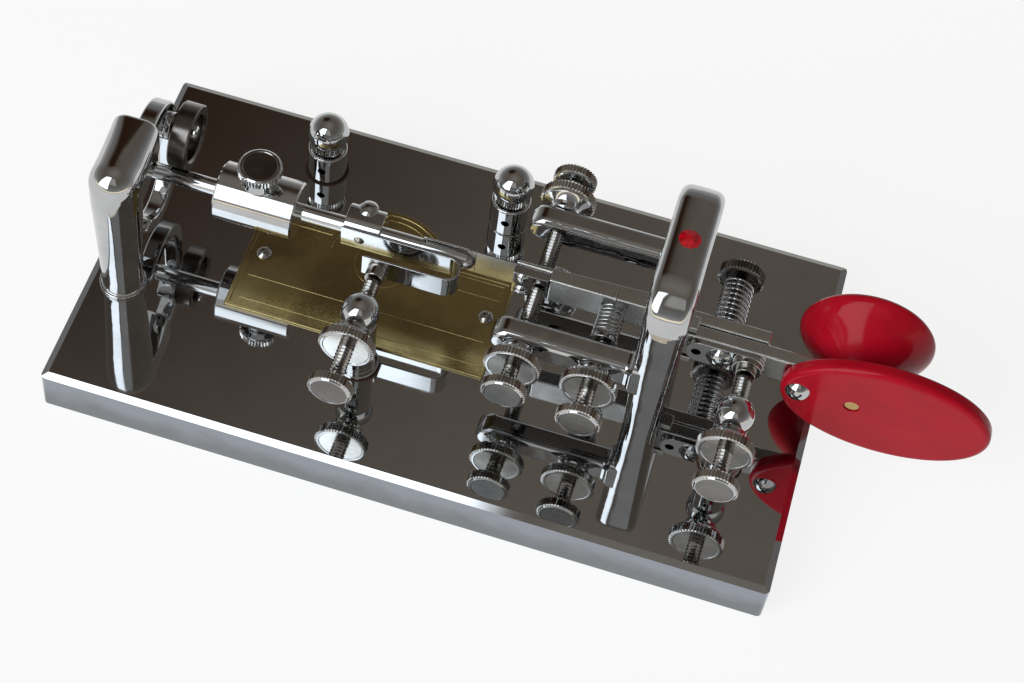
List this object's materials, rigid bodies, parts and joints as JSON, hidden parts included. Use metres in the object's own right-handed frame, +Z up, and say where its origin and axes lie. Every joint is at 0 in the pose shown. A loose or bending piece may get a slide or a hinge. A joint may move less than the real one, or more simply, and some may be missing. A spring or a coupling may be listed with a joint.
{
  "type": "semi-automatic telegraph key",
  "caption": "Telegraph key with a sprung double lever, a weighted vibrating arm, adjustable contacts and a plated slab base.",
  "frame": {"origin": "centre of the bounding box at the bottom of the feet", "axes": "+X towards the thumb paddle, +Y away from the operator's side with the contact screws, +Z up"},
  "size_m": [0.2014, 0.0888, 0.0646],
  "materials": {
    "bright_plating": "polished plating",
    "foot_rubber": "matte black rubber",
    "red_plastic": "glossy red moulding",
    "red_jewel": "polished red bearing jewel",
    "plate_brass": "worn brass sheet, bare, with a thin border and bands",
    "plain_brass": "turned brass",
    "contact_metal": "contact metal",
    "brown_fibre": "hard fibre",
    "spring_steel": "spring steel",
    "dark_plating": "knurled plating"
  },
  "bodies": {
    "base": {"base_plate": "bright_plating", "rubber_feet": "foot_rubber", "foot_screws": "bright_plating", "name_plate": "plate_brass", "plate_pins": "bright_plating", "yoke_frame": "bright_plating", "frame_screws": "bright_plating", "pivot_jewel": "red_jewel", "pivot_screw": "bright_plating", "pivot_nut": "bright_plating", "dot_post": "bright_plating", "dash_post": "bright_plating", "binding_post_left": "bright_plating", "binding_post_right": "bright_plating", "insulating_bushings": "brown_fibre", "insulating_washers": "brown_fibre", "post_screws": "bright_plating", "wiring_straps": "plain_brass", "damper_post": "bright_plating", "damper_hoop": "bright_plating", "damper_pin": "bright_plating", "damper_screw": "bright_plating"},
    "dot_lever": {"pivot_shaft": "bright_plating", "dot_lever": "bright_plating", "spring_clamp": "bright_plating", "clamp_screws": "bright_plating", "main_spring": "spring_steel", "dash_spring": "spring_steel", "return_spring": "spring_steel"},
    "finger_lever": {"finger_lever": "bright_plating", "thumb_paddle": "red_plastic", "paddle_screw": "bright_plating", "finger_knob": "red_plastic", "knob_stud": "plain_brass", "dash_strap": "bright_plating", "dash_contact_point": "contact_metal", "dash_spring_screw": "bright_plating"},
    "pendulum": {"pendulum_rod": "bright_plating", "rod_rivets": "bright_plating", "contact_saddle": "bright_plating", "saddle_screw": "bright_plating", "dot_contact_spring": "spring_steel", "dot_contact_point": "contact_metal"},
    "weight": {"pendulum_weight": "bright_plating"},
    "thumb_screw": {"weight_thumb_screw": "dark_plating"},
    "ring": {"damper_ring": "dark_plating"},
    "dash_knob": {"dash_spring_knob": "dark_plating"},
    "dot_stop": {"dot_stop_screw": "bright_plating"},
    "dot_stop_lock": {"dot_stop_nut": "bright_plating"},
    "return_adjuster": {"return_screw": "bright_plating", "return_seat": "bright_plating"},
    "return_lock": {"return_nut": "bright_plating"},
    "back_stop": {"back_stop_screw": "bright_plating"},
    "back_stop_lock": {"back_stop_nut": "bright_plating"},
    "dot_contact": {"dot_contact_screw": "bright_plating"},
    "dot_contact_lock": {"dot_contact_nut": "bright_plating"},
    "dash_contact": {"dash_contact_screw": "bright_plating"},
    "dash_contact_lock": {"dash_contact_nut": "bright_plating"},
    "left_nut": {"binding_nut_left": "bright_plating"},
    "right_nut": {"binding_nut_right": "bright_plating"}
  },
  "joints": [
    {"name": "dot_pivot", "type": "hinge", "parent": "base", "child": "dot_lever", "pos_m": [0.02823, 0.0026, 0.0344], "axis": [0, 0, 1], "range_deg": [0, 0.85], "stiffness_Nm_per_rad": 0.25, "springref_deg": -2.86, "deforming": ["return_spring"]},
    {"name": "dash_pivot", "type": "hinge", "parent": "dot_lever", "child": "finger_lever", "pos_m": [0.02823, 0.0026, 0.0344], "axis": [0, 0, 1], "range_deg": [-1.5, 0], "stiffness_Nm_per_rad": 0.25, "springref_deg": 2.86, "deforming": ["dash_spring"]},
    {"name": "pendulum_swing", "type": "hinge", "parent": "dot_lever", "child": "pendulum", "pos_m": [-0.01167, 0.0026, 0.0344], "axis": [0, 0, 1], "range_deg": [0, 1.3], "stiffness_Nm_per_rad": 0.3, "deforming": ["main_spring", "dot_contact_spring", "dot_contact_point"]},
    {"name": "weight_slide", "type": "slide", "parent": "pendulum", "child": "weight", "axis": [1, 0, 0], "range_m": [-0.005, 0.009]},
    {"name": "thumb_screw_turn", "type": "hinge", "parent": "weight", "child": "thumb_screw", "pos_m": [-0.06638, 0.0026, 0.0344], "axis": [0, 0, 1], "range_deg": [-180, 180]},
    {"name": "ring_swing", "type": "hinge", "parent": "base", "child": "ring", "pos_m": [-0.08578, 0.0071, 0.0461], "axis": [1, 0, 0], "range_deg": [0, 60]},
    {"name": "dash_knob_turn", "type": "hinge", "parent": "finger_lever", "child": "dash_knob", "pos_m": [0.04083, 0.0171, 0.0344], "axis": [0, 1, 0], "range_deg": [-180, 180]},
    {"name": "dot_stop_turn", "type": "hinge", "parent": "base", "child": "dot_stop", "pos_m": [-0.00108, 0.0026, 0.0344], "axis": [0, -1, 0], "range_deg": [-180, 180]},
    {"name": "dot_stop_lock_turn", "type": "hinge", "parent": "base", "child": "dot_stop_lock", "pos_m": [-0.00108, 0.0026, 0.0344], "axis": [0, -1, 0], "range_deg": [0, 180]},
    {"name": "back_stop_turn", "type": "hinge", "parent": "base", "child": "back_stop", "pos_m": [-0.00108, 0.0026, 0.0344], "axis": [0, 1, 0], "range_deg": [-180, 180]},
    {"name": "back_stop_lock_turn", "type": "hinge", "parent": "base", "child": "back_stop_lock", "pos_m": [-0.00108, 0.0026, 0.0344], "axis": [0, 1, 0], "range_deg": [0, 180]},
    {"name": "dot_contact_turn", "type": "hinge", "parent": "base", "child": "dot_contact", "pos_m": [-0.03598, 0.0026, 0.0344], "axis": [0, -1, 0], "range_deg": [-180, 180]},
    {"name": "dot_contact_lock_turn", "type": "hinge", "parent": "base", "child": "dot_contact_lock", "pos_m": [-0.03598, 0.0026, 0.0344], "axis": [0, -1, 0], "range_deg": [0, 180]},
    {"name": "dash_contact_turn", "type": "hinge", "parent": "base", "child": "dash_contact", "pos_m": [0.04713, 0.0026, 0.0344], "axis": [0, -1, 0], "range_deg": [-180, 180]},
    {"name": "dash_contact_lock_turn", "type": "hinge", "parent": "base", "child": "dash_contact_lock", "pos_m": [0.04713, 0.0026, 0.0344], "axis": [0, -1, 0], "range_deg": [0, 180]},
    {"name": "return_turn", "type": "hinge", "parent": "base", "child": "return_adjuster", "pos_m": [0.01582, 0.0026, 0.0344], "axis": [0, -1, 0], "range_deg": [-180, 180]},
    {"name": "return_lock_turn", "type": "hinge", "parent": "base", "child": "return_lock", "pos_m": [0.01582, 0.0026, 0.0344], "axis": [0, -1, 0], "range_deg": [0, 180]},
    {"name": "left_nut_turn", "type": "hinge", "parent": "base", "child": "left_nut", "pos_m": [-0.05958, 0.0306, 0.0229], "axis": [0, 0, 1], "range_deg": [-180, 180]},
    {"name": "right_nut_turn", "type": "hinge", "parent": "base", "child": "right_nut", "pos_m": [-0.01477, 0.0306, 0.0229], "axis": [0, 0, 1], "range_deg": [-180, 180]}
  ]
}
